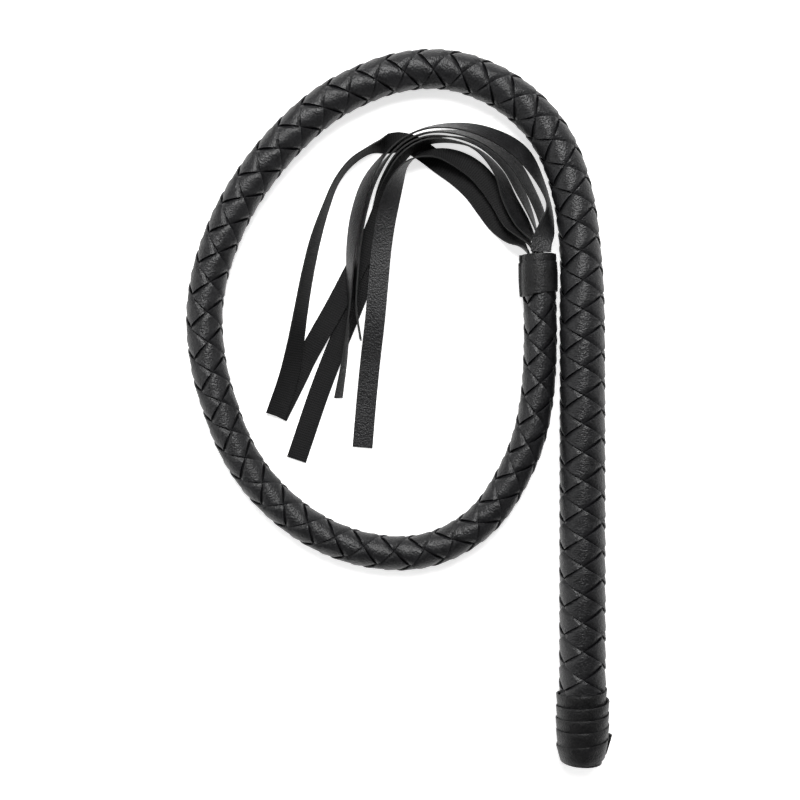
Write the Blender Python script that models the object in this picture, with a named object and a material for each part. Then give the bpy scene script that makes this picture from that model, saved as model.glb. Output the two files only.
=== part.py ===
"""Riding crop of the plaited kind: a stiff plaited handle that runs on into a flexible plaited thong.

The thong loops round anticlockwise on the surface it lies on and ends in a collar and six flat falls.
Metres. The origin is the centre of the butt's flat end face, +Y runs up the handle, and +Z is up.
"""

import math

import bmesh
import bpy
import numpy as np

# Driving dimensions
SURFACE_Z = -0.013            # what the crop lies on, one butt-wrap radius below the handle's axis
HANDLE_RADIUS = 0.011         # outside of the plait at the butt
HANDLE_TOP_RADIUS = 0.0106    # outside of the plait where the rod ends
THONG_RADIUS = 0.0096         # outside of the plait at the thong's root
TAIL_RADIUS = 0.0078          # outside of the plait at the collar
TAPER_POWER = 1.4             # how early the thong loses its thickness
SHOULDER = (0.215, 0.260)     # the stretch where the handle narrows to the thong
LANDING = (0.228, 0.330)      # the stretch where the thong comes down to the surface
TAIL_LIFT = (0.845, 0.888)    # the stretch where the tail rises to the collar's middle
PITCH = 0.0136                # from one over-strip to the next in one column of the plait
PLAIT_TURN = math.radians(54)  # puts a column of over-strips beside the top of the handle
STRIP_THICKNESS = 0.0008
STRIP_HALF_COVER = 0.42       # half a strip's width, in widths of its lane
WEAVE_HEIGHT = 0.00075        # how far a strip moves out and in from the middle of the plait
PLAIT_DEPTH = 0.0023          # from the plait's outside to its inside
CORE_GAP = 0.0007             # from the plait's inside to the core, so that facets stay clear
STRIPS_EACH_WAY = 3
STRIP_FIRST_CROSSING = 1      # the strips start half a pitch from the butt
STRIP_END = 0.2516            # and end short of the thong, so that it can bend
FIT_GAP = 0.0003

ROD_RADIUS = 0.004
ROD_END = 0.230
INNER_START = 0.0024          # the rod, the core and the strips start behind the butt disc
DISC_THICKNESS = 0.002
DISC_RADIUS = 0.0094
WRAP_INNER_RADIUS = 0.01145
WRAP_RADIUS = 0.013
WRAP_LOW_EDGE_RADIUS = 0.0126
WRAP_START = 0.0004
WRAP_END = 0.037
WRAP_PITCH = 0.0056
WRAP_FIRST_ANGLE = math.radians(95)
HANDLE_CORE_END = 0.236

JOINTS = (0.266, 0.391, 0.516, 0.641, 0.766)       # distances along the crop
JOINT_BENDS = (60, 60, 48, 30, 18)                 # degrees that each can uncurl
THONG_END = 0.8905
COLLAR = (0.889, 0.908)
COLLAR_RADIUS = 0.0095
COLLAR_BAND_RADIUS = 0.0090
COLLAR_BORE = 0.0082
COLLAR_STEP = 0.904                                # the narrow upper band starts here
COLLAR_STEP_LENGTH = 0.0004
BINDING = (0.8935, 0.8985)
BINDING_RADII = (0.0069, 0.0078)
BUNDLE = (0.8925, 0.9060)
BUNDLE_SIZE = (0.0076, 0.0098)                     # across and up

FALL_WIDTH = 0.010
FALL_THICKNESS = 0.0006

TUBE_SIDES = 12
HANDLE_SIDES = 16
ROUND_SIDES = 24
ROD_STEP = 0.06
CORE_STEP = 0.02
RING_STEP = 0.012
FALL_STEP = 0.0045
ROUTE_POINTS_PER_SPAN = 12
FALL_POINTS_PER_SPAN = 10
DIRECTION_REACH = 0.002       # how far to each side of a station its direction is taken from
SHARP_ANGLE = math.radians(35)

# The plan of the crop's middle line, from the butt to the collar's mouth
ROUTE = (
    (0.0000, 0.0000), (0.0000, 0.0600), (0.0000, 0.1200), (0.0000, 0.1600), (0.0000, 0.1910),
    (-0.0002, 0.2255), (-0.0005, 0.2416), (-0.0014, 0.2548), (-0.0029, 0.2686), (-0.0054, 0.2812),
    (-0.0096, 0.2948), (-0.0156, 0.3067), (-0.0228, 0.3161), (-0.0320, 0.3245), (-0.0399, 0.3298),
    (-0.0484, 0.3340), (-0.0605, 0.3380), (-0.0735, 0.3394), (-0.0871, 0.3382), (-0.1004, 0.3346),
    (-0.1195, 0.3258), (-0.1318, 0.3172), (-0.1426, 0.3074), (-0.1527, 0.2964), (-0.1618, 0.2844),
    (-0.1694, 0.2722), (-0.1758, 0.2588), (-0.1818, 0.2415), (-0.1848, 0.2258), (-0.1853, 0.2150),
    (-0.1846, 0.2037), (-0.1822, 0.1889), (-0.1783, 0.1755), (-0.1722, 0.1587), (-0.1648, 0.1447),
    (-0.1557, 0.1327), (-0.1441, 0.1216), (-0.1315, 0.1128), (-0.1186, 0.1067), (-0.1050, 0.1028),
    (-0.0895, 0.1012), (-0.0775, 0.1024), (-0.0660, 0.1061), (-0.0524, 0.1143), (-0.0427, 0.1243),
    (-0.0345, 0.1373), (-0.0284, 0.1501), (-0.0243, 0.1629), (-0.0213, 0.1801), (-0.0201, 0.1988),
    (-0.0201, 0.2160), (-0.0205, 0.2273), (-0.0211, 0.2484),
)

# Each fall's middle line from the collar's mouth: x, y, z and its turn about its own line in
# degrees, where 0 lies flat with the leather up and 90 and 270 stand on edge
FALL_ROUTES = {
    "fall_1": (
        (-0.0255, 0.2487, -0.0036, 90), (-0.0271, 0.2501, -0.0043, 95), (-0.0304, 0.2541, -0.0078, 132),
        (-0.0352, 0.2599, -0.0115, 167), (-0.0406, 0.2650, -0.0123, 180),
        (-0.0466, 0.2730, -0.0123, 180), (-0.0526, 0.2810, -0.0124, 180),
        (-0.0601, 0.2880, -0.0124, 180), (-0.0691, 0.2945, -0.0124, 180),
        (-0.0771, 0.3005, -0.0124, 180), (-0.0836, 0.3042, -0.0124, 180),
        (-0.0891, 0.3054, -0.0123, 183), (-0.0935, 0.3046, -0.0109, 200),
        (-0.0980, 0.3028, -0.0083, 240), (-0.1039, 0.3007, -0.0077, 262),
        (-0.1128, 0.2949, -0.0076, 264), (-0.1202, 0.2855, -0.0076, 264),
        (-0.1257, 0.2722, -0.0078, 258), (-0.1309, 0.2559, -0.0080, 247),
        (-0.1349, 0.2386, -0.0082, 241), (-0.1381, 0.2213, -0.0083, 235),
        (-0.1410, 0.2039, -0.0077, 222), (-0.1449, 0.1866, -0.0092, 203),
        (-0.1511, 0.1687, -0.0111, 182),
    ),
    "fall_2": (
        (-0.0219, 0.2487, -0.0035, 270), (-0.0229, 0.2538, -0.0044, 284),
        (-0.0288, 0.2642, -0.0060, 322), (-0.0348, 0.2758, -0.0072, 322),
        (-0.0403, 0.2890, -0.0068, 304), (-0.0505, 0.3000, -0.0064, 288),
        (-0.0637, 0.3046, -0.0063, 277), (-0.0769, 0.3040, -0.0064, 266),
        (-0.0874, 0.2970, -0.0066, 256), (-0.0935, 0.2851, -0.0077, 230),
        (-0.0978, 0.2713, -0.0097, 195), (-0.1040, 0.2563, -0.0108, 180),
        (-0.1125, 0.2399, -0.0110, 180), (-0.1222, 0.2215, -0.0110, 180),
        (-0.1287, 0.2100, -0.0110, 180), (-0.1360, 0.1971, -0.0123, 180),
        (-0.1400, 0.1886, -0.0124, 180), (-0.1502, 0.1682, -0.0124, 180),
    ),
    "fall_3": (
        (-0.0205, 0.2487, -0.0035, 270), (-0.0207, 0.2540, -0.0042, 274),
        (-0.0238, 0.2654, -0.0050, 288), (-0.0292, 0.2786, -0.0058, 302),
        (-0.0367, 0.2922, -0.0062, 304), (-0.0490, 0.3026, -0.0063, 296),
        (-0.0634, 0.3067, -0.0063, 284), (-0.0775, 0.3057, -0.0064, 272),
        (-0.0887, 0.2983, -0.0068, 258), (-0.0948, 0.2858, -0.0088, 230),
        (-0.0980, 0.2713, -0.0112, 195), (-0.1010, 0.2555, -0.0124, 180),
        (-0.1065, 0.2386, -0.0124, 180), (-0.1135, 0.2206, -0.0124, 180),
        (-0.1213, 0.2016, -0.0124, 180), (-0.1290, 0.1816, -0.0124, 180),
        (-0.1408, 0.1468, -0.0124, 180),
    ),
    "fall_4": (
        (-0.0206, 0.2487, 0.0026, 360), (-0.0202, 0.2530, 0.0026, 357), (-0.0180, 0.2590, 0.0016, 338),
        (-0.0160, 0.2650, -0.0012, 308), (-0.0156, 0.2720, -0.0040, 290), (-0.0196, 0.2836, -0.0046, 300),
        (-0.0294, 0.2986, -0.0046, 328), (-0.0457, 0.3082, -0.0048, 316),
        (-0.0627, 0.3117, -0.0052, 298), (-0.0791, 0.3097, -0.0054, 284),
        (-0.0925, 0.3019, -0.0054, 280), (-0.1046, 0.2866, -0.0056, 298),
        (-0.1102, 0.2702, -0.0050, 305), (-0.1129, 0.2539, -0.0046, 300),
        (-0.1138, 0.2367, -0.0044, 288), (-0.1142, 0.2186, -0.0054, 272),
        (-0.1160, 0.1989, -0.0062, 262), (-0.1195, 0.1776, -0.0078, 252),
    ),
    "fall_5": (
        (-0.0192, 0.2487, -0.0035, 270), (-0.0184, 0.2542, -0.0042, 278),
        (-0.0194, 0.2665, -0.0048, 300), (-0.0251, 0.2807, -0.0054, 306),
        (-0.0339, 0.2947, -0.0058, 312), (-0.0477, 0.3050, -0.0062, 306),
        (-0.0631, 0.3089, -0.0062, 292), (-0.0784, 0.3078, -0.0059, 280),
        (-0.0911, 0.3005, -0.0057, 278), (-0.1024, 0.2854, -0.0058, 294),
        (-0.1079, 0.2698, -0.0054, 302), (-0.1103, 0.2539, -0.0046, 296),
        (-0.1109, 0.2367, -0.0045, 284), (-0.1105, 0.2210, -0.0049, 272),
        (-0.1083, 0.2062, -0.0046, 270),
    ),
    "fall_6": (
        (-0.0232, 0.2487, -0.0035, 90), (-0.0247, 0.2518, -0.0038, 100), (-0.0289, 0.2585, -0.0056, 132),
        (-0.0341, 0.2658, -0.0082, 165), (-0.0389, 0.2749, -0.0090, 180),
        (-0.0449, 0.2836, -0.0090, 178), (-0.0519, 0.2910, -0.0088, 170),
        (-0.0608, 0.2963, -0.0080, 152), (-0.0703, 0.2988, -0.0070, 128),
        (-0.0787, 0.2976, -0.0064, 110), (-0.0854, 0.2936, -0.0062, 88), (-0.0905, 0.2848, -0.0062, 52),
        (-0.0950, 0.2708, -0.0082, 16), (-0.0980, 0.2536, -0.0096, 0), (-0.0997, 0.2363, -0.0096, 0),
        (-0.1015, 0.2164, -0.0098, 0), (-0.1038, 0.1966, -0.0116, 0), (-0.1058, 0.1767, -0.0124, 0),
        (-0.1078, 0.1529, -0.0124, 0),
    ),
}

LEATHER = (0.030, 0.030, 0.033, 1.0)
BACKING = (0.022, 0.022, 0.024, 1.0)
ROD_COLOUR = (0.55, 0.40, 0.24, 1.0)
CORE_COLOUR = (0.05, 0.05, 0.05, 1.0)
THREAD = (0.06, 0.06, 0.06, 1.0)


def clear_scene():
    for old in list(bpy.data.objects):
        bpy.data.objects.remove(old, do_unlink=True)


def make_material(name, colour, roughness):
    material = bpy.data.materials.new(name)
    material.use_nodes = True
    shader = material.node_tree.nodes["Principled BSDF"]
    shader.inputs["Base Color"].default_value = colour
    shader.inputs["Roughness"].default_value = roughness
    shader.inputs["Metallic"].default_value = 0.0
    material.diffuse_color = colour
    return material


def smooth_rows(rows, per_span):
    """A centripetal Catmull-Rom curve through the rows, whose first columns are a place."""
    given = np.array(rows, float)
    given = np.vstack([2 * given[0] - given[1], given, 2 * given[-1] - given[-2]])
    places = given[:, : min(3, given.shape[1])]
    knots = np.concatenate([[0], np.cumsum(np.linalg.norm(np.diff(places, axis=0), axis=1) ** 0.5)])
    smooth = []
    for i in range(1, len(given) - 2):
        p, k = given[i - 1 : i + 3], knots[i - 1 : i + 3]
        for t in np.linspace(k[1], k[2], per_span, endpoint=False):
            first = [((k[n + 1] - t) * p[n] + (t - k[n]) * p[n + 1]) / (k[n + 1] - k[n]) for n in range(3)]
            second = [((k[n + 2] - t) * first[n] + (t - k[n]) * first[n + 1]) / (k[n + 2] - k[n])
                      for n in range(2)]
            smooth.append(((k[2] - t) * second[0] + (t - k[1]) * second[1]) / (k[2] - k[1]))
    smooth.append(given[-2])
    return np.array(smooth)


def lengths_along(points):
    steps = np.linalg.norm(np.diff(points, axis=0), axis=1)
    return np.concatenate([[0], np.cumsum(steps)])


PLAN = smooth_rows(ROUTE, ROUTE_POINTS_PER_SPAN)
PLAN_LENGTHS = lengths_along(PLAN)


def ease(value, span):
    """0 before the span, 1 after it, and a smooth step between."""
    t = min(max((value - span[0]) / (span[1] - span[0]), 0.0), 1.0)
    return t * t * (3 - 2 * t)


def plait_radius(s):
    """The plait's outside radius at distance s along the crop."""
    handle = HANDLE_RADIUS + (HANDLE_TOP_RADIUS - HANDLE_RADIUS) * min(s / SHOULDER[0], 1.0)
    share = min(max((s - SHOULDER[1]) / (COLLAR[0] - SHOULDER[1]), 0.0), 1.0)
    thong = TAIL_RADIUS + (THONG_RADIUS - TAIL_RADIUS) * (1 - share) ** TAPER_POWER
    return handle + (thong - handle) * ease(s, SHOULDER)


def line_height(s):
    """The middle line's height: level in the handle, then one plait radius above the surface."""
    lying = SURFACE_Z + plait_radius(s)
    lying += (SURFACE_Z + COLLAR_RADIUS - lying) * ease(s, TAIL_LIFT)
    return lying * ease(s, LANDING)


def line_point(s):
    x = np.interp(s, PLAN_LENGTHS, PLAN[:, 0])
    y = np.interp(s, PLAN_LENGTHS, PLAN[:, 1])
    return np.array([x, y, line_height(s)])


def line_frame(s):
    """The middle line's point at s, with the directions along it, to its right and up."""
    ahead, behind = min(s + DIRECTION_REACH, COLLAR[1]), max(s - DIRECTION_REACH, 0.0)
    along = line_point(ahead) - line_point(behind)
    along /= np.linalg.norm(along)
    right = np.cross(along, (0.0, 0.0, 1.0))
    right /= np.linalg.norm(right)
    return line_point(s), along, right, np.cross(right, along)


def around(s, radius, angle, ahead=0.0):
    """A point at an angle from the top of the line, positive towards its right."""
    point, along, right, up = line_frame(s)
    return point + radius * (math.sin(angle) * right + math.cos(angle) * up) + ahead * along


def add_object(name, bm, material):
    bmesh.ops.recalc_face_normals(bm, faces=bm.faces)
    mesh = bpy.data.meshes.new(name)
    bm.to_mesh(mesh)
    bm.free()
    mesh.materials.append(material)
    mesh.shade_smooth()
    mesh.set_sharp_from_angle(angle=SHARP_ANGLE)
    piece = bpy.data.objects.new(name, mesh)
    bpy.context.scene.collection.objects.link(piece)
    return piece


def skin(bm, rings):
    """Triangles between closed rings of vertices, each pair split along its shorter diagonal."""
    for low, high in zip(rings, rings[1:]):
        for i in range(len(low)):
            j = (i + 1) % len(low)
            if (low[i].co - high[j].co).length < (low[j].co - high[i].co).length:
                bm.faces.new((low[i], low[j], high[j]))
                bm.faces.new((low[i], high[j], high[i]))
            else:
                bm.faces.new((low[i], low[j], high[i]))
                bm.faces.new((low[j], high[j], high[i]))


def close_end(bm, ring):
    """A fan of triangles round the ring's middle."""
    middle = bm.verts.new(sum((v.co for v in ring[1:]), ring[0].co.copy()) / len(ring))
    for i in range(len(ring)):
        bm.faces.new((ring[i], ring[(i + 1) % len(ring)], middle))


def solid_sweep(name, rings, material):
    bm = bmesh.new()
    made = [[bm.verts.new(p) for p in ring] for ring in rings]
    skin(bm, made)
    close_end(bm, made[0])
    close_end(bm, made[-1])
    return add_object(name, bm, material)


def sleeve(name, outer, inner, material):
    """A tube with an open bore."""
    bm = bmesh.new()
    outside = [[bm.verts.new(p) for p in ring] for ring in outer]
    inside = [[bm.verts.new(p) for p in ring] for ring in inner]
    skin(bm, outside)
    skin(bm, inside)
    skin(bm, [outside[0], inside[0]])
    skin(bm, [outside[-1], inside[-1]])
    return add_object(name, bm, material)


def round_rings(stations, radius_at, sides, end_bends=(0.0, 0.0)):
    """Rings along the crop. An end that bends by an angle is cut back on its right by half of it."""
    rings = []
    for number, s in enumerate(stations):
        bend = {0: end_bends[0], len(stations) - 1: -end_bends[1]}.get(number, 0.0)
        ring = []
        for i in range(sides):
            angle = 2 * math.pi * (i + 0.5) / sides
            radius = radius_at(s)
            ahead = max(math.sin(angle), 0.0) * radius * math.tan(bend / 2)
            ring.append(around(s, radius, angle, ahead))
        rings.append(ring)
    return rings


def even_stations(start, end, step):
    return np.linspace(start, end, max(2, round((end - start) / step) + 1))


def make_butt(leather):
    disc_rings = round_rings((0.0, DISC_THICKNESS), lambda s: DISC_RADIUS, ROUND_SIDES)
    solid_sweep("butt_disc", disc_rings, leather)

    width = WRAP_PITCH - FIT_GAP
    turns = (WRAP_END - WRAP_START - width) / WRAP_PITCH
    rings = []
    for k in range(round(turns * ROUND_SIDES) + 1):
        turn = k / ROUND_SIDES
        low = WRAP_START + turn * WRAP_PITCH
        angle = WRAP_FIRST_ANGLE + 2 * math.pi * turn
        rings.append([
            around(low, WRAP_INNER_RADIUS, angle),
            around(low, WRAP_LOW_EDGE_RADIUS, angle),
            around(low + width, WRAP_RADIUS, angle),
            around(low + width, WRAP_INNER_RADIUS, angle),
        ])
    solid_sweep("butt_wrap", rings, leather)


def make_handle_inside(rod_material, core_material):
    rod_stations = even_stations(INNER_START, ROD_END, ROD_STEP)
    solid_sweep("handle_rod", round_rings(rod_stations, lambda s: ROD_RADIUS, TUBE_SIDES), rod_material)
    stations = even_stations(INNER_START, HANDLE_CORE_END, CORE_STEP)
    outer = round_rings(stations, core_radius, HANDLE_SIDES)
    bore = round_rings(stations, lambda s: ROD_RADIUS + FIT_GAP, HANDLE_SIDES)
    sleeve("handle_core", outer, bore, core_material)


def core_radius(s):
    return plait_radius(s) - PLAIT_DEPTH - CORE_GAP


def plait_height(q):
    """Out (+1) over the strip crossed at each even q, in (-1) at each odd one."""
    return 1.0 if round(q) % 2 == 0 else -1.0


def strand_rings(number, leans_right):
    """One plaited strip: q counts the strips that it crosses, half a pitch apart."""
    first, last = STRIP_FIRST_CROSSING, 2 * STRIP_END / PITCH
    parts = (-STRIP_HALF_COVER, 0, STRIP_HALF_COVER)
    marks = [n + part for n in range(first, int(last) + 1) for part in parts]
    marks = [q for q in marks if first <= q <= last]
    lean = 1 if leans_right else -1
    rings = []
    for q in marks:
        height = lean * WEAVE_HEIGHT * plait_height(q)
        ring = []
        for layer in (1, -1):
            for side in (-1, 0, 1):
                a = side * layer * STRIP_HALF_COVER
                s = (q - lean * a) * PITCH / 2
                angle = PLAIT_TURN + (2 * number + lean * q + a) * math.pi / 3
                middle = plait_radius(s) - STRIP_THICKNESS / 2 - WEAVE_HEIGHT
                ring.append(around(s, middle + height + layer * STRIP_THICKNESS / 2, angle))
        rings.append(ring)
    return rings


def make_strands(leather):
    for number in range(STRIPS_EACH_WAY):
        right, left = number + 1, number + 1 + STRIPS_EACH_WAY
        solid_sweep(f"handle_strand_{right}", strand_rings(number, True), leather)
        solid_sweep(f"handle_strand_{left}", strand_rings(number, False), leather)


def make_thong(leather, core_material):
    ends = (*JOINTS, THONG_END)
    bends = (*JOINT_BENDS, 0)
    for k in range(len(JOINTS)):
        start = ends[k] + FIT_GAP
        end = ends[k + 1] - (FIT_GAP if k < len(JOINTS) - 1 else 0)
        stations = even_stations(start, end, RING_STEP)
        cut_back = (math.radians(bends[k]), math.radians(bends[k + 1]))
        outer = round_rings(stations, plait_radius, TUBE_SIDES, cut_back)
        inner = round_rings(stations, lambda s: plait_radius(s) - PLAIT_DEPTH, TUBE_SIDES, cut_back)
        core = round_rings(stations, core_radius, TUBE_SIDES, cut_back)
        sleeve(f"thong_plait_{k + 1}", outer, inner, leather)
        solid_sweep(f"thong_core_{k + 1}", core, core_material)


def make_tail(leather, thread):
    stations = (COLLAR[0], COLLAR_STEP, COLLAR_STEP + COLLAR_STEP_LENGTH, COLLAR[1])
    outer = round_rings(
        stations, lambda s: COLLAR_RADIUS if s <= COLLAR_STEP else COLLAR_BAND_RADIUS, ROUND_SIDES
    )
    bore = round_rings(stations, lambda s: COLLAR_BORE, ROUND_SIDES)
    sleeve("tail_collar", outer, bore, leather)

    outer = round_rings(BINDING, lambda s: BINDING_RADII[1], ROUND_SIDES)
    bore = round_rings(BINDING, lambda s: BINDING_RADII[0], ROUND_SIDES)
    sleeve("tail_binding", outer, bore, thread)

    half_wide, half_tall = BUNDLE_SIZE[0] / 2, BUNDLE_SIZE[1] / 2
    rings = []
    for s in BUNDLE:
        point, _, right, up = line_frame(s)
        corners = ((-1, -1), (1, -1), (1, 1), (-1, 1))
        rings.append([point + a * half_wide * right + b * half_tall * up for a, b in corners])
    solid_sweep("strip_bundle", rings, leather)


def fall_rings(rows):
    """A flat strip along its middle line, turned about it as the rows say."""
    line = smooth_rows(rows, FALL_POINTS_PER_SPAN)
    lengths = lengths_along(line[:, :3])
    stations = even_stations(0.0, lengths[-1], FALL_STEP)
    line = np.stack([np.interp(stations, lengths, column) for column in line.T], axis=1)
    alongs = np.gradient(line[:, :3], axis=0)
    rings = []
    for row, along in zip(line, alongs):
        along = along / np.linalg.norm(along)
        right = np.cross(along, (0.0, 0.0, 1.0))
        right /= np.linalg.norm(right)
        up = np.cross(right, along)
        turn = math.radians(row[3])
        across = math.cos(turn) * right + math.sin(turn) * up
        face = -math.sin(turn) * right + math.cos(turn) * up
        half_wide, half_thick = across * FALL_WIDTH / 2, face * FALL_THICKNESS / 2
        corners = ((-1, -1), (1, -1), (1, 1), (-1, 1))
        rings.append([row[:3] + a * half_wide + b * half_thick for a, b in corners])
    return rings


def make_falls(leather):
    for name, rows in FALL_ROUTES.items():
        solid_sweep(name, fall_rings(rows), leather)


def main():
    clear_scene()
    leather = make_material("black_leather", LEATHER, 0.45)
    fall_leather = make_material("fall_leather", BACKING, 0.6)
    rod_material = make_material("rod_wood", ROD_COLOUR, 0.6)
    core_material = make_material("core_filler", CORE_COLOUR, 0.8)
    thread = make_material("binding_thread", THREAD, 0.7)
    make_butt(leather)
    make_handle_inside(rod_material, core_material)
    make_strands(leather)
    make_thong(leather, core_material)
    make_tail(leather, thread)
    make_falls(fall_leather)


main()
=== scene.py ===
import math

import bpy
import numpy as np
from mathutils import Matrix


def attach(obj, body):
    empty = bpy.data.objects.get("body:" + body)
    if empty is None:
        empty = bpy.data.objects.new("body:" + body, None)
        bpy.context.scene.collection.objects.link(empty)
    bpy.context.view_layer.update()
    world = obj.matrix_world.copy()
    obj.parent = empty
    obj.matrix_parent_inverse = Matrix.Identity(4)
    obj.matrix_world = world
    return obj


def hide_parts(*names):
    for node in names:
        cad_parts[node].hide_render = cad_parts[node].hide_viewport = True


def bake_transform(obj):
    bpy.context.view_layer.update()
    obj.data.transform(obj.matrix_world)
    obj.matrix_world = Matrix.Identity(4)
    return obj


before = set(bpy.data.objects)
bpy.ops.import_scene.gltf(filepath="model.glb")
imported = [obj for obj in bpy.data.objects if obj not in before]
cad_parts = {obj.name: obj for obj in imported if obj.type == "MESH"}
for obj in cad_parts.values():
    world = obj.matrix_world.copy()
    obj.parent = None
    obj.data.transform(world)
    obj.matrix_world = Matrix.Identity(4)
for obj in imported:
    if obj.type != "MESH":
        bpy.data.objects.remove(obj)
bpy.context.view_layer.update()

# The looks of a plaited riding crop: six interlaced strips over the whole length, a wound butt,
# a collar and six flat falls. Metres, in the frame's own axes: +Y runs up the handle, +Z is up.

SHARP_ANGLE = math.radians(50)

# The crop's middle line and thickness, as the CAD model has them
SURFACE_Z = -0.013
HANDLE_RADIUS = 0.011
HANDLE_TOP_RADIUS = 0.0106
THONG_RADIUS = 0.0096
TAIL_RADIUS = 0.0078
TAPER_POWER = 1.4
SHOULDER = (0.215, 0.260)        # the handle thins to the thong here
LANDING = (0.228, 0.330)         # the middle line sinks until the thong lies on the surface
TAIL_LIFT = (0.845, 0.888)       # and rises again to the height of the collar's middle
JOINTS = (0.266, 0.391, 0.516, 0.641, 0.766)
THONG_END = 0.8905               # the end of the thong's last piece, inside the collar
COLLAR_START = 0.889             # where the thong stops getting thinner
COLLAR_RADIUS = 0.0095
STATION_COUNT = 3000
ROUTE_POINTS_PER_SPAN = 12

# The plait: distances along the crop with the plait's pitch there, and with the turn of its columns
PITCHES = ((0.0, 0.0136), (0.20, 0.0137), (0.30, 0.0144), (0.50, 0.0150), (0.88, 0.0154))
FIRST_CROSSING = 0.0016          # where the first crossing lies
TURNS = ((0.0, 54), (0.23, 54), (0.36, 42), (0.70, 42), (0.84, 60), (0.90, 60))
STRIPS_EACH_WAY = 3
STRIP_UV_STEP = 0.31             # sets the grain of one strip apart from the next one's
STRIP_THICKNESS = 0.0009
STRIP_HALF_COVER = 0.482         # half a strip's width, in widths of its lane
STRIP_HALF_WIDTH = 0.0055
WEAVE_HEIGHT = 0.00090           # how far a strip moves out and in from the middle of the plait
WEAVE_SHARPNESS = 3.2            # how long it stays out before it dives under the next one
WEAVE_DIP = 0.09                 # how early it dives, so that a dark line shows beside the next one
CURL = 0.00030                   # how much further out a strip's edges stand than its middle
PLAIT_SWELL = 0.00025            # how far the strips bulge past the CAD model's even surface
PLAIT_DEPTH = 0.0027             # from the plait's outside to the core
CORE_GAP = 0.0003
CORE_SIDES = 16
CORE_RINGS = 48
STATIONS_PER_CROSSING = 10
LENGTH_PER_CROSSING = 0.0079     # of a strip, from one crossing to the next
PLAIT_START = 0.012              # under the butt wrap
HANDLE_END = 0.205               # from here on the plait can bend
HANDLE_CORE_END = 0.236
STRIP_END = 0.8925               # the strips' ends reach here or further, inside the collar
CUT_REACH = 0.005                # how far a piece's core and route reach past the place where two meet

# The butt wrap: a strap wound in a helix, each turn's upper edge over the lower edge of the next turn up
WRAP_RADIUS = 0.0130
WRAP_PITCH = 0.0058
STRAP_WIDTH = 0.0100
STRAP_THICKNESS = 0.0009
STRAP_END_ANGLE = -265           # the cut end, on the crop's right side
WRAP_TOP = 0.0365
WRAP_RINGS = 8 * 36
LOW_TURN_TOP = 0.0083            # the lowest turn's upper edge, where the strap is level
LOW_TURN_RISE = 0.0049           # its climb to the first point of the helix
END_RISE = 0.0047                # how far the cut end turns up
STRAP_LEAN = 0.0011              # how much deeper the strap's lower edge lies than its upper one
LOW_TURN_DEPTH = 0.0002          # how much deeper the lowest turn lies
LOW_TURN_LEAN = 0.0012           # and how much more it leans, which closes the butt
STRAP_TUCK = 0.0011              # how deep the upper end is tucked under
END_LIFT = 0.0020                # how far the cut end stands away
LONG_SWELL = 0.00012             # two soft waves along the strap
SHORT_SWELL = 0.00008

# The collar's bands: name, lower and upper edge along the crop, outside radius, thickness, where the
# band starts in degrees, and how far its lower edge tilts
COLLAR_BANDS = (
    ("tail_collar_band", 0.8885, 0.9044, COLLAR_RADIUS, 0.0013, -112, 0.0010),
    ("tail_collar_top", 0.9037, 0.9080, COLLAR_RADIUS - 0.0004, 0.0006, -105, 0.0004),
)
BAND_WOUND = 385                 # degrees, so a band laps over its own start
BAND_RINGS = 110
BAND_DEPTH = 0.0004              # how deep a band lies where it starts
LAP_LIFT = 0.0009                # how far the lap climbs over it
BAND_SWELL = 0.00012
BAND_ROUNDING = 0.0002           # how much a band's edges turn in

FALL_WIDTH = 0.010
FALL_THICKNESS = 0.0008
FALL_STEP = 0.0025
FALL_POINTS_PER_SPAN = 10
FALL_CUP = 0.00025               # how far a fall's edges rise and sink along its length
FALL_CUP_LENGTH = 0.021
FALL_CUP_START = (0.01, 0.04)    # the cupping grows over this stretch from the mouth
FALL_UV_STEP = 0.4               # sets the grain of one fall apart from the next one's

# The studio. Each light is a name, a place, a size and a power, and points at the crop's middle
CROP_MIDDLE = (-0.09, 0.17, 0.0)
LIGHTS = (
    ("key", (-0.05, 0.82, 1.05), 0.7, 16.5),
    ("left", (-1.1, 0.3, 0.7), 0.5, 2.5),
    ("right", (1.0, 0.4, 0.6), 0.5, 1.2),
)
SKY_HORIZON = 1.0
SKY_ZENITH = 0.1
SKY_FADE = (0.03, 0.5)           # the sky darkens between these heights on the unit sphere
FLOOR_HALF_WIDTH = 8.0
FLOOR_GLOW = 0.66
CAMERA_PLACE = (-0.08906, 0.17666, 0.537)
CAMERA_LENS = 49.5
SENSOR_WIDTH = 36

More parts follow.
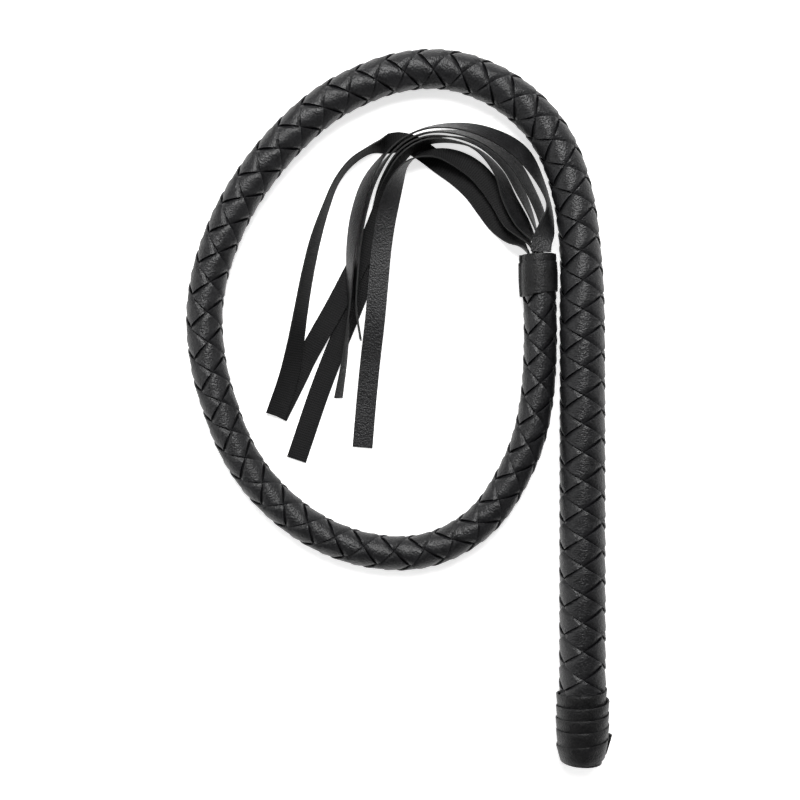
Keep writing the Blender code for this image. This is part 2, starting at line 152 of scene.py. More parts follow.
# The plan of the crop's middle line, from the butt to the collar's mouth
ROUTE = (
    (0.0000, 0.0000), (0.0000, 0.0600), (0.0000, 0.1200), (0.0000, 0.1600), (0.0000, 0.1910),
    (-0.0002, 0.2255), (-0.0005, 0.2416), (-0.0014, 0.2548), (-0.0029, 0.2686), (-0.0054, 0.2812),
    (-0.0096, 0.2948), (-0.0156, 0.3067), (-0.0228, 0.3161), (-0.0320, 0.3245), (-0.0399, 0.3298),
    (-0.0484, 0.3340), (-0.0605, 0.3380), (-0.0735, 0.3394), (-0.0871, 0.3382), (-0.1004, 0.3346),
    (-0.1195, 0.3258), (-0.1318, 0.3172), (-0.1426, 0.3074), (-0.1527, 0.2964), (-0.1618, 0.2844),
    (-0.1694, 0.2722), (-0.1758, 0.2588), (-0.1818, 0.2415), (-0.1848, 0.2258), (-0.1853, 0.2150),
    (-0.1846, 0.2037), (-0.1822, 0.1889), (-0.1783, 0.1755), (-0.1722, 0.1587), (-0.1648, 0.1447),
    (-0.1557, 0.1327), (-0.1441, 0.1216), (-0.1315, 0.1128), (-0.1186, 0.1067), (-0.1050, 0.1028),
    (-0.0895, 0.1012), (-0.0775, 0.1024), (-0.0660, 0.1061), (-0.0524, 0.1143), (-0.0427, 0.1243),
    (-0.0345, 0.1373), (-0.0284, 0.1501), (-0.0243, 0.1629), (-0.0213, 0.1801), (-0.0201, 0.1988),
    (-0.0201, 0.2160), (-0.0205, 0.2273), (-0.0211, 0.2484),
)

# Each fall's middle line from the collar's mouth: x, y, z and its turn about its own line in
# degrees, where 0 lies flat with the leather up and 90 and 270 stand on edge
FALL_ROUTES = {
    "fall_1": (
        (-0.0255, 0.2487, -0.0036, 90), (-0.0271, 0.2501, -0.0043, 95), (-0.0304, 0.2541, -0.0078, 132),
        (-0.0352, 0.2599, -0.0115, 167), (-0.0406, 0.2650, -0.0123, 180),
        (-0.0466, 0.2730, -0.0123, 180), (-0.0526, 0.2810, -0.0124, 180),
        (-0.0601, 0.2880, -0.0124, 180), (-0.0691, 0.2945, -0.0124, 180),
        (-0.0771, 0.3005, -0.0124, 180), (-0.0836, 0.3042, -0.0124, 180),
        (-0.0891, 0.3054, -0.0123, 183), (-0.0935, 0.3046, -0.0109, 200),
        (-0.0980, 0.3028, -0.0083, 240), (-0.1039, 0.3007, -0.0077, 262),
        (-0.1128, 0.2949, -0.0076, 264), (-0.1202, 0.2855, -0.0076, 264),
        (-0.1257, 0.2722, -0.0078, 258), (-0.1309, 0.2559, -0.0080, 247),
        (-0.1349, 0.2386, -0.0082, 241), (-0.1381, 0.2213, -0.0083, 235),
        (-0.1410, 0.2039, -0.0077, 222), (-0.1449, 0.1866, -0.0092, 203),
        (-0.1511, 0.1687, -0.0111, 182),
    ),
    "fall_2": (
        (-0.0219, 0.2487, -0.0035, 270), (-0.0229, 0.2538, -0.0044, 284),
        (-0.0288, 0.2642, -0.0060, 322), (-0.0348, 0.2758, -0.0072, 322),
        (-0.0403, 0.2890, -0.0068, 304), (-0.0505, 0.3000, -0.0064, 288),
        (-0.0637, 0.3046, -0.0063, 277), (-0.0769, 0.3040, -0.0064, 266),
        (-0.0874, 0.2970, -0.0066, 256), (-0.0935, 0.2851, -0.0077, 230),
        (-0.0978, 0.2713, -0.0097, 195), (-0.1040, 0.2563, -0.0108, 180),
        (-0.1125, 0.2399, -0.0110, 180), (-0.1222, 0.2215, -0.0110, 180),
        (-0.1287, 0.2100, -0.0110, 180), (-0.1360, 0.1971, -0.0123, 180),
        (-0.1400, 0.1886, -0.0124, 180), (-0.1502, 0.1682, -0.0124, 180),
    ),
    "fall_3": (
        (-0.0205, 0.2487, -0.0035, 270), (-0.0207, 0.2540, -0.0042, 274),
        (-0.0238, 0.2654, -0.0050, 288), (-0.0292, 0.2786, -0.0058, 302),
        (-0.0367, 0.2922, -0.0062, 304), (-0.0490, 0.3026, -0.0063, 296),
        (-0.0634, 0.3067, -0.0063, 284), (-0.0775, 0.3057, -0.0064, 272),
        (-0.0887, 0.2983, -0.0068, 258), (-0.0948, 0.2858, -0.0088, 230),
        (-0.0980, 0.2713, -0.0112, 195), (-0.1010, 0.2555, -0.0124, 180),
        (-0.1065, 0.2386, -0.0124, 180), (-0.1135, 0.2206, -0.0124, 180),
        (-0.1213, 0.2016, -0.0124, 180), (-0.1290, 0.1816, -0.0124, 180),
        (-0.1408, 0.1468, -0.0124, 180),
    ),
    "fall_4": (
        (-0.0206, 0.2487, 0.0026, 360), (-0.0202, 0.2530, 0.0026, 357), (-0.0180, 0.2590, 0.0016, 338),
        (-0.0160, 0.2650, -0.0012, 308), (-0.0156, 0.2720, -0.0040, 290), (-0.0196, 0.2836, -0.0046, 300),
        (-0.0294, 0.2986, -0.0046, 328), (-0.0457, 0.3082, -0.0048, 316),
        (-0.0627, 0.3117, -0.0052, 298), (-0.0791, 0.3097, -0.0054, 284),
        (-0.0925, 0.3019, -0.0054, 280), (-0.1046, 0.2866, -0.0056, 298),
        (-0.1102, 0.2702, -0.0050, 305), (-0.1129, 0.2539, -0.0046, 300),
        (-0.1138, 0.2367, -0.0044, 288), (-0.1142, 0.2186, -0.0054, 272),
        (-0.1160, 0.1989, -0.0062, 262), (-0.1195, 0.1776, -0.0078, 252),
    ),
    "fall_5": (
        (-0.0192, 0.2487, -0.0035, 270), (-0.0184, 0.2542, -0.0042, 278),
        (-0.0194, 0.2665, -0.0048, 300), (-0.0251, 0.2807, -0.0054, 306),
        (-0.0339, 0.2947, -0.0058, 312), (-0.0477, 0.3050, -0.0062, 306),
        (-0.0631, 0.3089, -0.0062, 292), (-0.0784, 0.3078, -0.0059, 280),
        (-0.0911, 0.3005, -0.0057, 278), (-0.1024, 0.2854, -0.0058, 294),
        (-0.1079, 0.2698, -0.0054, 302), (-0.1103, 0.2539, -0.0046, 296),
        (-0.1109, 0.2367, -0.0045, 284), (-0.1105, 0.2210, -0.0049, 272),
        (-0.1083, 0.2062, -0.0046, 270),
    ),
    "fall_6": (
        (-0.0232, 0.2487, -0.0035, 90), (-0.0247, 0.2518, -0.0038, 100), (-0.0289, 0.2585, -0.0056, 132),
        (-0.0341, 0.2658, -0.0082, 165), (-0.0389, 0.2749, -0.0090, 180),
        (-0.0449, 0.2836, -0.0090, 178), (-0.0519, 0.2910, -0.0088, 170),
        (-0.0608, 0.2963, -0.0080, 152), (-0.0703, 0.2988, -0.0070, 128),
        (-0.0787, 0.2976, -0.0064, 110), (-0.0854, 0.2936, -0.0062, 88), (-0.0905, 0.2848, -0.0062, 52),
        (-0.0950, 0.2708, -0.0082, 16), (-0.0980, 0.2536, -0.0096, 0), (-0.0997, 0.2363, -0.0096, 0),
        (-0.1015, 0.2164, -0.0098, 0), (-0.1038, 0.1966, -0.0116, 0), (-0.1058, 0.1767, -0.0124, 0),
        (-0.1078, 0.1529, -0.0124, 0),
    ),
}


def smooth_rows(rows, per_span):
    """A centripetal Catmull-Rom curve through the rows, whose first columns are a place."""
    given = np.array(rows, float)
    given = np.vstack([2 * given[0] - given[1], given, 2 * given[-1] - given[-2]])
    places = given[:, : min(3, given.shape[1])]
    knots = np.concatenate([[0], np.cumsum(np.linalg.norm(np.diff(places, axis=0), axis=1) ** 0.5)])
    smooth = []
    for i in range(1, len(given) - 2):
        p, k = given[i - 1 : i + 3], knots[i - 1 : i + 3]
        for t in np.linspace(k[1], k[2], per_span, endpoint=False):
            first = [((k[n + 1] - t) * p[n] + (t - k[n]) * p[n + 1]) / (k[n + 1] - k[n]) for n in range(3)]
            second = [((k[n + 2] - t) * first[n] + (t - k[n]) * first[n + 1]) / (k[n + 2] - k[n])
                      for n in range(2)]
            smooth.append(((k[2] - t) * second[0] + (t - k[1]) * second[1]) / (k[2] - k[1]))
    smooth.append(given[-2])
    return np.array(smooth)


def lengths_along(points):
    steps = np.linalg.norm(np.diff(points, axis=0), axis=1)
    return np.concatenate([[0], np.cumsum(steps)])


def ease(value, span):
    """0 before the span, 1 after it, and a smooth step between."""
    t = np.clip((np.asarray(value, float) - span[0]) / (span[1] - span[0]), 0.0, 1.0)
    return t * t * (3 - 2 * t)


def plait_radius(s):
    """The plait's outside radius at distance s along the crop."""
    handle = HANDLE_RADIUS + (HANDLE_TOP_RADIUS - HANDLE_RADIUS) * np.minimum(s / SHOULDER[0], 1.0)
    share = np.clip((s - SHOULDER[1]) / (COLLAR_START - SHOULDER[1]), 0.0, 1.0)
    thong = TAIL_RADIUS + (THONG_RADIUS - TAIL_RADIUS) * (1 - share) ** TAPER_POWER
    return handle + (thong - handle) * ease(s, SHOULDER)


def line_height(s):
    """The middle line's height: level in the handle, then one plait radius above the surface."""
    lying = SURFACE_Z + plait_radius(s)
    lying = lying + (SURFACE_Z + COLLAR_RADIUS - lying) * ease(s, TAIL_LIFT)
    return lying * ease(s, LANDING)


def unit(vectors):
    return vectors / np.linalg.norm(vectors, axis=-1, keepdims=True)


def columns_at(s, table):
    return np.stack([np.interp(s, STATIONS, column) for column in table.T], axis=-1)


PLAN = smooth_rows(ROUTE, ROUTE_POINTS_PER_SPAN)
PLAN_LENGTHS = lengths_along(PLAN)
STATIONS = np.linspace(0.0, PLAN_LENGTHS[-1], STATION_COUNT)
LINE = np.stack([
    np.interp(STATIONS, PLAN_LENGTHS, PLAN[:, 0]),
    np.interp(STATIONS, PLAN_LENGTHS, PLAN[:, 1]),
    line_height(STATIONS),
], axis=-1)
ALONGS = unit(np.gradient(columns_at(STATIONS, LINE), axis=0))
RIGHTS = unit(np.cross(ALONGS, (0.0, 0.0, 1.0)))
UPS = np.cross(RIGHTS, ALONGS)
PITCH_AT = np.interp(STATIONS, *np.array(PITCHES).T)
CROSSINGS = np.concatenate([[0], np.cumsum(np.diff(STATIONS) * 2 / PITCH_AT[1:])])
CROSSINGS -= FIRST_CROSSING * 2 / PITCH_AT[0]
TURN_AT = np.radians(np.interp(STATIONS, *np.array(TURNS).T))


def around(s, radius, angle):
    """Points at an angle from the top of the line, positive towards its right."""
    s, radius, angle = np.broadcast_arrays(s, radius, angle)
    sideways = np.sin(angle)[..., None] * columns_at(s, RIGHTS)
    upwards = np.cos(angle)[..., None] * columns_at(s, UPS)
    return columns_at(s, LINE) + radius[..., None] * (sideways + upwards)


class Shape:
    """Collects swept pieces with their texture places, then becomes one mesh object."""

    def __init__(self):
        self.points, self.uvs, self.faces, self.slots = [], [], [], []

    def sweep(self, grid, uv, slots=None):
        """grid is rings x ring points x 3, each ring closed. slots gives a material for each side."""
        rings, sides = grid.shape[:2]
        start = sum(len(p) for p in self.points)
        self.points.append(grid.reshape(-1, 3))
        self.uvs.append(np.broadcast_to(uv, (rings, sides, 2)).reshape(-1, 2))
        index = start + np.arange(rings * sides).reshape(rings, sides)
        after = np.roll(index, -1, axis=1)
        quads = np.stack([index[:-1], after[:-1], after[1:], index[1:]], axis=-1)
        if turned_inward(grid):
            quads = quads[..., ::-1]
        self.faces += quads.reshape(-1, 4).tolist()
        side_slots = np.zeros(sides, int) if slots is None else np.array(slots)
        self.slots += np.tile(side_slots, rings - 1).tolist()
        for ring in (index[0], index[-1]):
            self.faces.append(ring.tolist())
            self.slots.append(int(side_slots[0]))

    def make(self, name, materials):
        mesh = bpy.data.meshes.new(name)
        points = np.concatenate(self.points)
        uvs = np.concatenate(self.uvs)
        mesh.from_pydata(points.tolist(), [], self.faces)
        for material in materials:
            mesh.materials.append(material)
        mesh.polygons.foreach_set("material_index", self.slots)
        layer = mesh.uv_layers.new(name="strip")
        corners = np.empty(len(mesh.loops), np.int32)
        mesh.loops.foreach_get("vertex_index", corners)
        layer.data.foreach_set("uv", uvs[corners].astype(np.float32).ravel())
        mesh.shade_smooth()
        mesh.set_sharp_from_angle(angle=SHARP_ANGLE)
        mesh.update()
        made = bpy.data.objects.new(name, mesh)
        bpy.context.scene.collection.objects.link(made)
        return made


def turned_inward(grid):
    """True if faces wound along a ring first, and then on to the next ring, would face inward."""
    after = np.roll(grid, -1, axis=1)
    middle = grid.mean(axis=1, keepdims=True)
    normals = np.cross(after[:-1] - grid[:-1], grid[1:] - grid[:-1])
    return float((normals * (grid - middle)[:-1]).sum()) < 0


# The materials. Each takes its pattern from the strip's own length and width, so it bends with it.


def new_material(name):
    material = bpy.data.materials.new(name)
    material.use_nodes = True
    return material, material.node_tree.nodes, material.node_tree.links


def add_node(nodes, links, kind, settings=None, **inputs):
    """A node with its settings. An input is a value, or another node's output to link to."""
    node = nodes.new(kind)
    for key, value in (settings or {}).items():
        setattr(node, key, value)
    for key, value in inputs.items():
        socket = node.inputs[int(key[1:])] if key[0] == "_" else node.inputs[key.replace("_", " ")]
        if isinstance(value, bpy.types.NodeSocket):
            links.new(value, socket)
        else:
            socket.default_value = value
    return node


def leather(name, dark, light, grain, roughness, half_width, shine):
    """Embossed satin leather: pebbled grain, soft mottling, and paler edges, partly rubbed wear and partly
    a painted highlight along them.
    """
    material, nodes, links = new_material(name)
    shader = nodes["Principled BSDF"]
    place = nodes.new("ShaderNodeUVMap").outputs["UV"]
    split = add_node(nodes, links, "ShaderNodeSeparateXYZ", Vector=place)
    pebbles = add_node(nodes, links, "ShaderNodeTexVoronoi", {"feature": "SMOOTH_F1"},
                       Vector=place, Scale=1 / grain, Smoothness=0.6)
    creases = add_node(nodes, links, "ShaderNodeTexNoise", Vector=place, Scale=0.8 / grain, Detail=4.0)
    mottle = add_node(nodes, links, "ShaderNodeTexNoise", Vector=place, Scale=110.0, Detail=8.0,
                      Roughness=0.75)
    across = add_node(nodes, links, "ShaderNodeMath", {"operation": "ABSOLUTE"}, _0=split.outputs["Y"])
    # Paler towards the strip's edges, broken up by the mottling: partly rubbed wear, partly a painted
    # highlight where the edges catch the light
    edge = add_node(nodes, links, "ShaderNodeMapRange", {"interpolation_type": "SMOOTHSTEP"},
                    Value=across.outputs[0], From_Min=half_width * 0.86, From_Max=half_width * 1.0)
    edge_wear_and_highlight = add_node(nodes, links, "ShaderNodeMath", {"operation": "MULTIPLY"},
                    _0=edge.outputs[0], _1=mottle.outputs["Fac"])
    speckle = add_node(nodes, links, "ShaderNodeMath", {"operation": "MULTIPLY_ADD"},
                       _0=creases.outputs["Fac"], _1=0.7, _2=mottle.outputs["Fac"])
    mixed = add_node(nodes, links, "ShaderNodeMath", {"operation": "MULTIPLY_ADD", "use_clamp": True},
                     _0=edge_wear_and_highlight.outputs[0], _1=0.9, _2=speckle.outputs[0])
    colour = add_node(nodes, links, "ShaderNodeValToRGB", Fac=mixed.outputs[0])
    colour.color_ramp.elements[0].position = 0.6
    colour.color_ramp.elements[0].color = (*dark, 1)
    colour.color_ramp.elements[1].position = 1.0
    colour.color_ramp.elements[1].color = (*light, 1)
    links.new(colour.outputs["Color"], shader.inputs["Base Color"])
    rough = add_node(nodes, links, "ShaderNodeMapRange", Value=creases.outputs["Fac"],
                     From_Min=0.3, From_Max=0.7, To_Min=roughness - 0.06, To_Max=roughness + 0.08)
    links.new(rough.outputs[0], shader.inputs["Roughness"])
    height = add_node(nodes, links, "ShaderNodeMath", {"operation": "MULTIPLY_ADD"},
                      _0=creases.outputs["Fac"], _1=0.6, _2=pebbles.outputs["Distance"])
    bump = add_node(nodes, links, "ShaderNodeBump", Strength=0.9, Distance=grain * 0.25,
                    Height=height.outputs[0])
    links.new(bump.outputs["Normal"], shader.inputs["Normal"])
    shader.inputs["Specular IOR Level"].default_value = shine
    return material


def woven(name, dark, light, thread):
    """The strips' woven backing: crossing threads that catch the light by turns."""
    material, nodes, links = new_material(name)
    shader = nodes["Principled BSDF"]
    place = nodes.new("ShaderNodeUVMap").outputs["UV"]
    split = add_node(nodes, links, "ShaderNodeSeparateXYZ", Vector=place)
    waves = []
    for output in ("X", "Y"):
        phase = add_node(nodes, links, "ShaderNodeMath", {"operation": "MULTIPLY"},
                         _0=split.outputs[output], _1=math.pi / thread)
        waves.append(add_node(nodes, links, "ShaderNodeMath", {"operation": "SINE"}, _0=phase.outputs[0]))
    cross = add_node(nodes, links, "ShaderNodeMath", {"operation": "MULTIPLY"},
                     _0=waves[0].outputs[0], _1=waves[1].outputs[0])
    fuzz = add_node(nodes, links, "ShaderNodeTexNoise", Vector=place, Scale=1.2 / thread, Detail=3.0)
    ribs = add_node(nodes, links, "ShaderNodeMath", {"operation": "MULTIPLY_ADD"},
                    _0=waves[0].outputs[0], _1=0.25, _2=fuzz.outputs["Fac"])
    level = add_node(nodes, links, "ShaderNodeMath", {"operation": "MULTIPLY_ADD"},
                     _0=cross.outputs[0], _1=0.3, _2=ribs.outputs[0])
    colour = add_node(nodes, links, "ShaderNodeValToRGB", Fac=level.outputs[0])
    colour.color_ramp.elements[0].position = 0.1
    colour.color_ramp.elements[0].color = (*dark, 1)
    colour.color_ramp.elements[1].position = 0.9
    colour.color_ramp.elements[1].color = (*light, 1)
    links.new(colour.outputs["Color"], shader.inputs["Base Color"])
    rough = add_node(nodes, links, "ShaderNodeMapRange", Value=fuzz.outputs["Fac"],
                     From_Min=0.3, From_Max=0.7, To_Min=0.62, To_Max=0.8)
    links.new(rough.outputs[0], shader.inputs["Roughness"])
    bump = add_node(nodes, links, "ShaderNodeBump", Strength=0.8, Distance=thread * 0.3,
                    Height=level.outputs[0])
    links.new(bump.outputs["Normal"], shader.inputs["Normal"])
    shader.inputs["Specular IOR Level"].default_value = 0.2
    return material


def matte(name, dark, light, scale):
    """A plain fibrous material, for cut edges and for the parts inside."""
    material, nodes, links = new_material(name)
    shader = nodes["Principled BSDF"]
    place = nodes.new("ShaderNodeTexCoord").outputs["Object"]
    fibre = add_node(nodes, links, "ShaderNodeTexNoise", Vector=place, Scale=scale, Detail=4.0)
    colour = add_node(nodes, links, "ShaderNodeValToRGB", Fac=fibre.outputs["Fac"])
    colour.color_ramp.elements[0].color = (*dark, 1)
    colour.color_ramp.elements[1].color = (*light, 1)
    links.new(colour.outputs["Color"], shader.inputs["Base Color"])
    bump = add_node(nodes, links, "ShaderNodeBump", Strength=0.5, Distance=0.0002,
                    Height=fibre.outputs["Fac"])
    links.new(bump.outputs["Normal"], shader.inputs["Normal"])
    shader.inputs["Roughness"].default_value = 0.75
    return material


# The plait

# One strip's cross-section, as shares of its half width and half thickness, once round
SECTION = np.array(
    [(-0.985, 0.85)] + [(side, 1.0) for side in np.linspace(-0.94, 0.94, 9)]
    + [(0.985, 0.85), (1.0, 0.4), (1.0, -0.6), (0.93, -1.0), (0.0, -1.0), (-0.93, -1.0), (-1.0, -0.6),
       (-1.0, 0.4)]
)


def weave(q, lean):
    """+1 where a strip is over the one that it crosses, and -1 where it is under."""
    return np.tanh(WEAVE_SHARPNESS * (lean * np.cos(np.pi * q) - WEAVE_DIP))


def strip_grid(number, lean, q):
    """One plaited strip: q counts the strips that it crosses, from the butt."""
    q = q[:, None]
    side, layer = SECTION.T
    a = STRIP_HALF_COVER * side
    s = np.interp(q - lean * a, CROSSINGS, STATIONS)
    angle = np.interp(s, STATIONS, TURN_AT) + (2 * number + lean * q + a) * math.pi / 3
    height = WEAVE_HEIGHT * weave(q, lean) + CURL * side ** 4 + PLAIT_SWELL
    middle = plait_radius(s) - STRIP_THICKNESS / 2 - WEAVE_HEIGHT
    grid = around(s, middle + height + layer * STRIP_THICKNESS / 2, angle)
    along = lengths_along(grid[:, 5])[:, None] + q[0, 0] * LENGTH_PER_CROSSING
    along = along + STRIP_UV_STEP * number + lean
    uv = np.stack(np.broadcast_arrays(along, side * STRIP_HALF_WIDTH), axis=-1)
    return grid, uv


def hidden_crossing(s, lean):
    """The crossing nearest to s at which a strip of that lean is under the other."""
    under = 1 if lean == 1 else 0
    crossing = np.interp(s, STATIONS, CROSSINGS)
    return 2 * round((crossing - under) / 2) + under


def add_strip(shape, number, lean, start, end):
    """The stretch of one strip between two distances, cut under another strip or under the collar."""
    first, last = (hidden_crossing(s, lean) for s in (start, end))
    if end == THONG_END:
        last = np.interp(STRIP_END, STATIONS, CROSSINGS) + STRIP_HALF_COVER
    q = np.linspace(first, last, round((last - first) * STATIONS_PER_CROSSING) + 1)
    shape.sweep(*strip_grid(number, lean, q))


def strips():
    return [(number, lean) for lean in (1, -1) for number in range(STRIPS_EACH_WAY)]


def make_handle_plait(material):
    for node, (number, lean) in enumerate(strips(), 1):
        shape = Shape()
        add_strip(shape, number, lean, PLAIT_START, HANDLE_END)
        strip = shape.make(f"handle_strip_{node}", [material])
        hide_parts(f"handle_strand_{node}")
        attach(strip, "handle")


def make_thong_pieces(material, core_material):
    """One piece across each bend. Two pieces meet in the middle of a body, where both ride on it."""
    meets = [HANDLE_END] + [(a + b) / 2 for a, b in zip(JOINTS, JOINTS[1:])] + [THONG_END]
    for k, joint in enumerate(JOINTS):
        start, end = meets[k], meets[k + 1]
        shape = Shape()
        for number, lean in strips():
            add_strip(shape, number, lean, start, end)
        low, high = start - CUT_REACH, min(end + CUT_REACH, THONG_END)
        stations = np.linspace(max(low, HANDLE_CORE_END), high, CORE_RINGS)[:, None]
        angles = np.linspace(0, 2 * math.pi, CORE_SIDES, endpoint=False)
        core = around(stations, plait_radius(stations) - PLAIT_DEPTH - CORE_GAP, angles)
        shape.sweep(core, np.zeros(2), slots=[1] * CORE_SIDES)
        piece = shape.make(f"thong_{k + 1}_plait", [material, core_material])
        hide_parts(f"thong_plait_{k + 1}", f"thong_core_{k + 1}")
        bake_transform(piece)


# The butt


def strap_top(angle):
    """Where the strap's upper edge is, at an angle in degrees that grows as the strap climbs."""
    helix = LOW_TURN_TOP + LOW_TURN_RISE + WRAP_PITCH * (angle - 90) / 360
    level = LOW_TURN_TOP + LOW_TURN_RISE * (angle + 90) / 180
    low = np.where(angle < 90, np.maximum(level, LOW_TURN_TOP), helix)
    return low + END_RISE * ease(-angle, (175, 265))


def make_butt_wrap(material):
    last = 90 + 360 * (WRAP_TOP - LOW_TURN_TOP - LOW_TURN_RISE) / WRAP_PITCH
    angle = np.linspace(STRAP_END_ANGLE, last, WRAP_RINGS)[:, None]
    down = np.array([0.02, 0.0, 0.03, 0.3, 0.6, 0.97, 1.0, 0.97, 0.6, 0.3, 0.03])
    depth = np.array([0.5, 0.2, 0.0, 0.0, 0.0, 0.0, 0.5, 1.0, 1.0, 1.0, 0.95])
    top = strap_top(angle)
    bottom = np.maximum(top - STRAP_WIDTH, 0.0003)
    s = top + (bottom - top) * down
    lowest = 1 - ease(angle, (30, 200))
    tucked = ease(angle, (last - 300, last))
    drop = STRAP_LEAN * down + lowest * (LOW_TURN_DEPTH + LOW_TURN_LEAN * down) + STRAP_TUCK * tucked
    raised = END_LIFT * ease(-angle, (215, 262)) * (1 - 0.4 * down)
    swell = LONG_SWELL * np.sin(angle / 23.0) + SHORT_SWELL * np.sin(angle / 7.1 + down * 3)
    radius = WRAP_RADIUS - drop + raised + swell - STRAP_THICKNESS * depth
    grid = around(s, radius, np.radians(angle))
    along = np.radians(angle) * WRAP_RADIUS
    uv = np.stack(np.broadcast_arrays(along, (down - 0.5) * STRAP_WIDTH), axis=-1)
    shape = Shape()
    shape.sweep(grid, uv)
    wrap = shape.make("butt_strap", [material])
    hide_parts("butt_wrap")
    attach(wrap, "handle")


# The tail's collar


def make_collar(material):
    """A strip wound once and a bit round the tail, with a narrow band above it at the mouth."""
    for name, low, high, radius, thickness, lap, skew in COLLAR_BANDS:
        angle = np.linspace(lap, lap + BAND_WOUND, BAND_RINGS)[:, None]
        up = np.array([0.0, 0.02, 0.3, 0.6, 0.98, 1.0, 0.98, 0.6, 0.3, 0.02])
        depth = np.array([0.5, 0.0, 0.0, 0.0, 0.0, 0.5, 1.0, 1.0, 1.0, 1.0])
        turned = (angle - lap) / BAND_WOUND
        tilt = skew * np.sin(np.radians(angle))
        s = low + tilt * (1 - up) + (high - low) * up
        growth = LAP_LIFT * ease(turned, (0.85, 1.0)) - BAND_DEPTH
        swell = BAND_SWELL * np.sin(4 * math.pi * turned + 2 * up) - BAND_ROUNDING * np.abs(2 * up - 1) ** 3
        grid = around(s, radius + growth + swell - thickness * depth, np.radians(angle))
        along = np.radians(angle) * radius
        uv = np.stack(np.broadcast_arrays(along, (up - 0.5) * (high - low)), axis=-1)
        shape = Shape()
        shape.sweep(grid, uv)
        band = shape.make(name, [material])
        if name == "tail_collar_band":
            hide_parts("tail_collar")
        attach(band, "thong_5")


# The falls

# Their cross-section: leather on the upper side, woven backing below, cut edges
FALL_SECTION = np.array(
    [(side, 1.0) for side in np.linspace(-0.985, 0.985, 9)] + [(1.0, 0.6), (1.0, -0.6)]
    + [(side, -1.0) for side in np.linspace(0.985, -0.985, 9)] + [(-1.0, -0.6), (-1.0, 0.6)]
)
FALL_SIDE_SLOTS = [0] * 8 + [2, 2, 2] + [1] * 8 + [2, 2, 2]


def fall_line(rows):
    line = smooth_rows(rows, FALL_POINTS_PER_SPAN)
    lengths = lengths_along(line[:, :3])
    stations = np.linspace(0.0, lengths[-1], round(lengths[-1] / FALL_STEP) + 1)
    return stations, np.stack([np.interp(stations, lengths, column) for column in line.T], axis=1)


def make_falls(face, back, edge):
    for number, (name, rows) in enumerate(FALL_ROUTES.items()):
        stations, line = fall_line(rows)
        along = unit(np.gradient(line[:, :3], axis=0))
        right = unit(np.cross(along, (0.0, 0.0, 1.0)))
        up = np.cross(right, along)
        turn = np.radians(line[:, 3:])
        across = np.cos(turn) * right + np.sin(turn) * up
        out = -np.sin(turn) * right + np.cos(turn) * up
        side, layer = FALL_SECTION.T
        cup = FALL_CUP * (side ** 2 - 0.4) * np.sin(stations / FALL_CUP_LENGTH + number)[:, None]
        wide = side * FALL_WIDTH / 2
        tall = layer * FALL_THICKNESS / 2 + cup * ease(stations, FALL_CUP_START)[:, None]
        grid = line[:, None, :3] + wide[None, :, None] * across[:, None]
        grid = grid + tall[..., None] * out[:, None]
        uv = np.stack(np.broadcast_arrays(stations[:, None] + FALL_UV_STEP * number, wide), axis=-1)
        shape = Shape()
        shape.sweep(grid, uv, slots=FALL_SIDE_SLOTS)
        fall = shape.make(f"{name}_strip", [face, back, edge])
        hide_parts(name)
        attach(fall, "tassel")


# The scene


def dress_frame(strap, thread, filler):
    """The CAD nodes that stay as they are."""
    dresses = {"butt_disc": strap, "strip_bundle": strap, "tail_binding": thread, "handle_core": filler}
    dresses["handle_rod"] = matte("rod_wood", dark=(0.30, 0.19, 0.10), light=(0.55, 0.38, 0.22), scale=300)
    for node, material in dresses.items():
        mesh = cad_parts[node].data
        mesh.materials.clear()
        mesh.materials.append(material)


def make_floor():
    half = FLOOR_HALF_WIDTH
    mesh = bpy.data.meshes.new("floor")
    corners = [(-half, -half, 0), (half, -half, 0), (half, half, 0), (-half, half, 0)]
    mesh.from_pydata(corners, [], [(0, 1, 2, 3)])
    material, nodes, _ = new_material("floor")
    shader = nodes["Principled BSDF"]
    shader.inputs["Base Color"].default_value = (0.93, 0.925, 0.92, 1)
    shader.inputs["Roughness"].default_value = 0.9
    shader.inputs["Specular IOR Level"].default_value = 0.1
    shader.inputs["Emission Color"].default_value = (1, 1, 1, 1)
    shader.inputs["Emission Strength"].default_value = FLOOR_GLOW
    mesh.materials.append(material)
    floor = bpy.data.objects.new("floor", mesh)
    floor.location = (0, 0, SURFACE_Z)
    bpy.context.scene.collection.objects.link(floor)


def add_light(name, place, size, power):
    data = bpy.data.lights.new(name, "AREA")
    data.shape = "DISK"
    data.size = size
    data.energy = power
    light = bpy.data.objects.new(name, data)
    light.location = place
    direction = np.array(CROP_MIDDLE) - np.array(place)
    pitch = math.acos(-direction[2] / np.linalg.norm(direction))
    light.rotation_euler = (pitch, 0, math.atan2(direction[1], direction[0]) - math.pi / 2)
    bpy.context.scene.collection.objects.link(light)


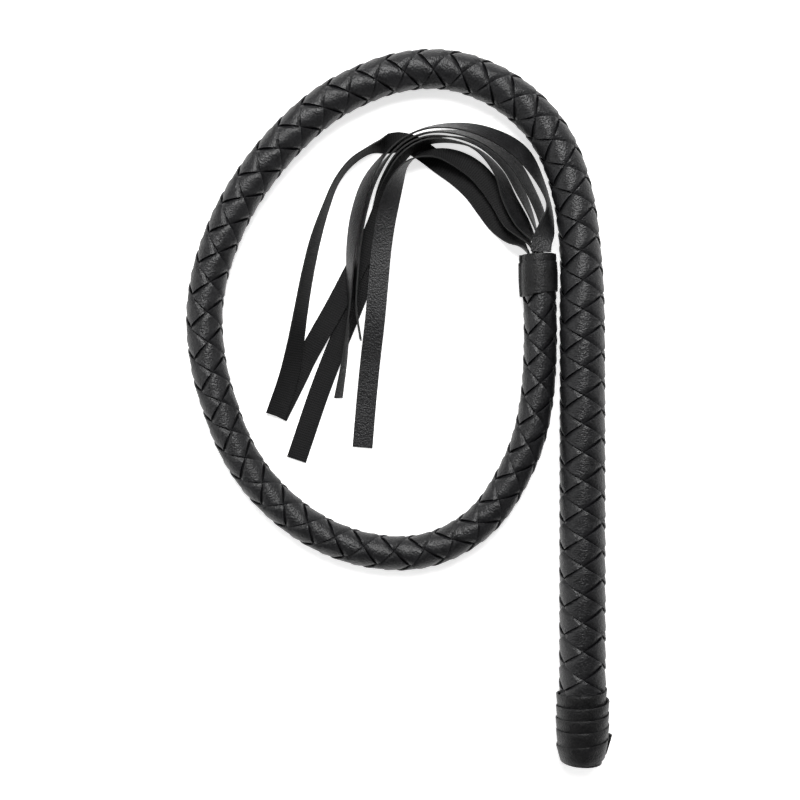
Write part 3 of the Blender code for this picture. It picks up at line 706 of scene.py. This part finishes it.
def make_studio():
    world = bpy.data.worlds.new("studio")
    world.use_nodes = True
    nodes, links = world.node_tree.nodes, world.node_tree.links
    place = nodes.new("ShaderNodeTexCoord").outputs["Generated"]
    split = add_node(nodes, links, "ShaderNodeSeparateXYZ", Vector=place)
    level = add_node(nodes, links, "ShaderNodeMapRange", {"interpolation_type": "SMOOTHSTEP"},
                     Value=split.outputs["Z"], From_Min=SKY_FADE[0], From_Max=SKY_FADE[1],
                     To_Min=SKY_HORIZON, To_Max=SKY_ZENITH)
    nodes["Background"].inputs["Color"].default_value = (1, 1, 1, 1)
    links.new(level.outputs[0], nodes["Background"].inputs["Strength"])
    bpy.context.scene.world = world
    for light in LIGHTS:
        add_light(*light)
    bpy.context.scene.view_settings.view_transform = "Standard"


def make_camera():
    data = bpy.data.cameras.new("camera")
    data.lens = CAMERA_LENS
    data.sensor_width = SENSOR_WIDTH
    camera = bpy.data.objects.new("camera", data)
    camera.location = CAMERA_PLACE
    bpy.context.scene.collection.objects.link(camera)
    bpy.context.scene.camera = camera


def main():
    plait = leather("plait_leather", dark=(0.0010, 0.0010, 0.0012), light=(0.012, 0.012, 0.0134),
                    grain=0.0008, roughness=0.41, half_width=STRIP_HALF_WIDTH, shine=0.42)
    strap = leather("strap_leather", dark=(0.001, 0.001, 0.0011), light=(0.008, 0.008, 0.0085),
                    grain=0.0008, roughness=0.45, half_width=STRAP_WIDTH / 2, shine=0.3)
    face = leather("fall_face", dark=(0.002, 0.002, 0.0022), light=(0.013, 0.013, 0.014),
                   grain=0.0008, roughness=0.44, half_width=FALL_WIDTH / 2, shine=0.35)
    back = woven("fall_back", dark=(0.001, 0.001, 0.0011), light=(0.014, 0.014, 0.0145), thread=0.0006)
    edge = matte("cut_edge", dark=(0.003, 0.003, 0.003), light=(0.010, 0.010, 0.010), scale=3000)
    filler = matte("filler", dark=(0.008, 0.008, 0.008), light=(0.02, 0.02, 0.02), scale=900)
    dress_frame(strap, back, filler)
    make_handle_plait(plait)
    make_thong_pieces(plait, filler)
    make_butt_wrap(strap)
    make_collar(strap)
    make_falls(face, back, edge)
    make_floor()
    make_studio()
    make_camera()


main()
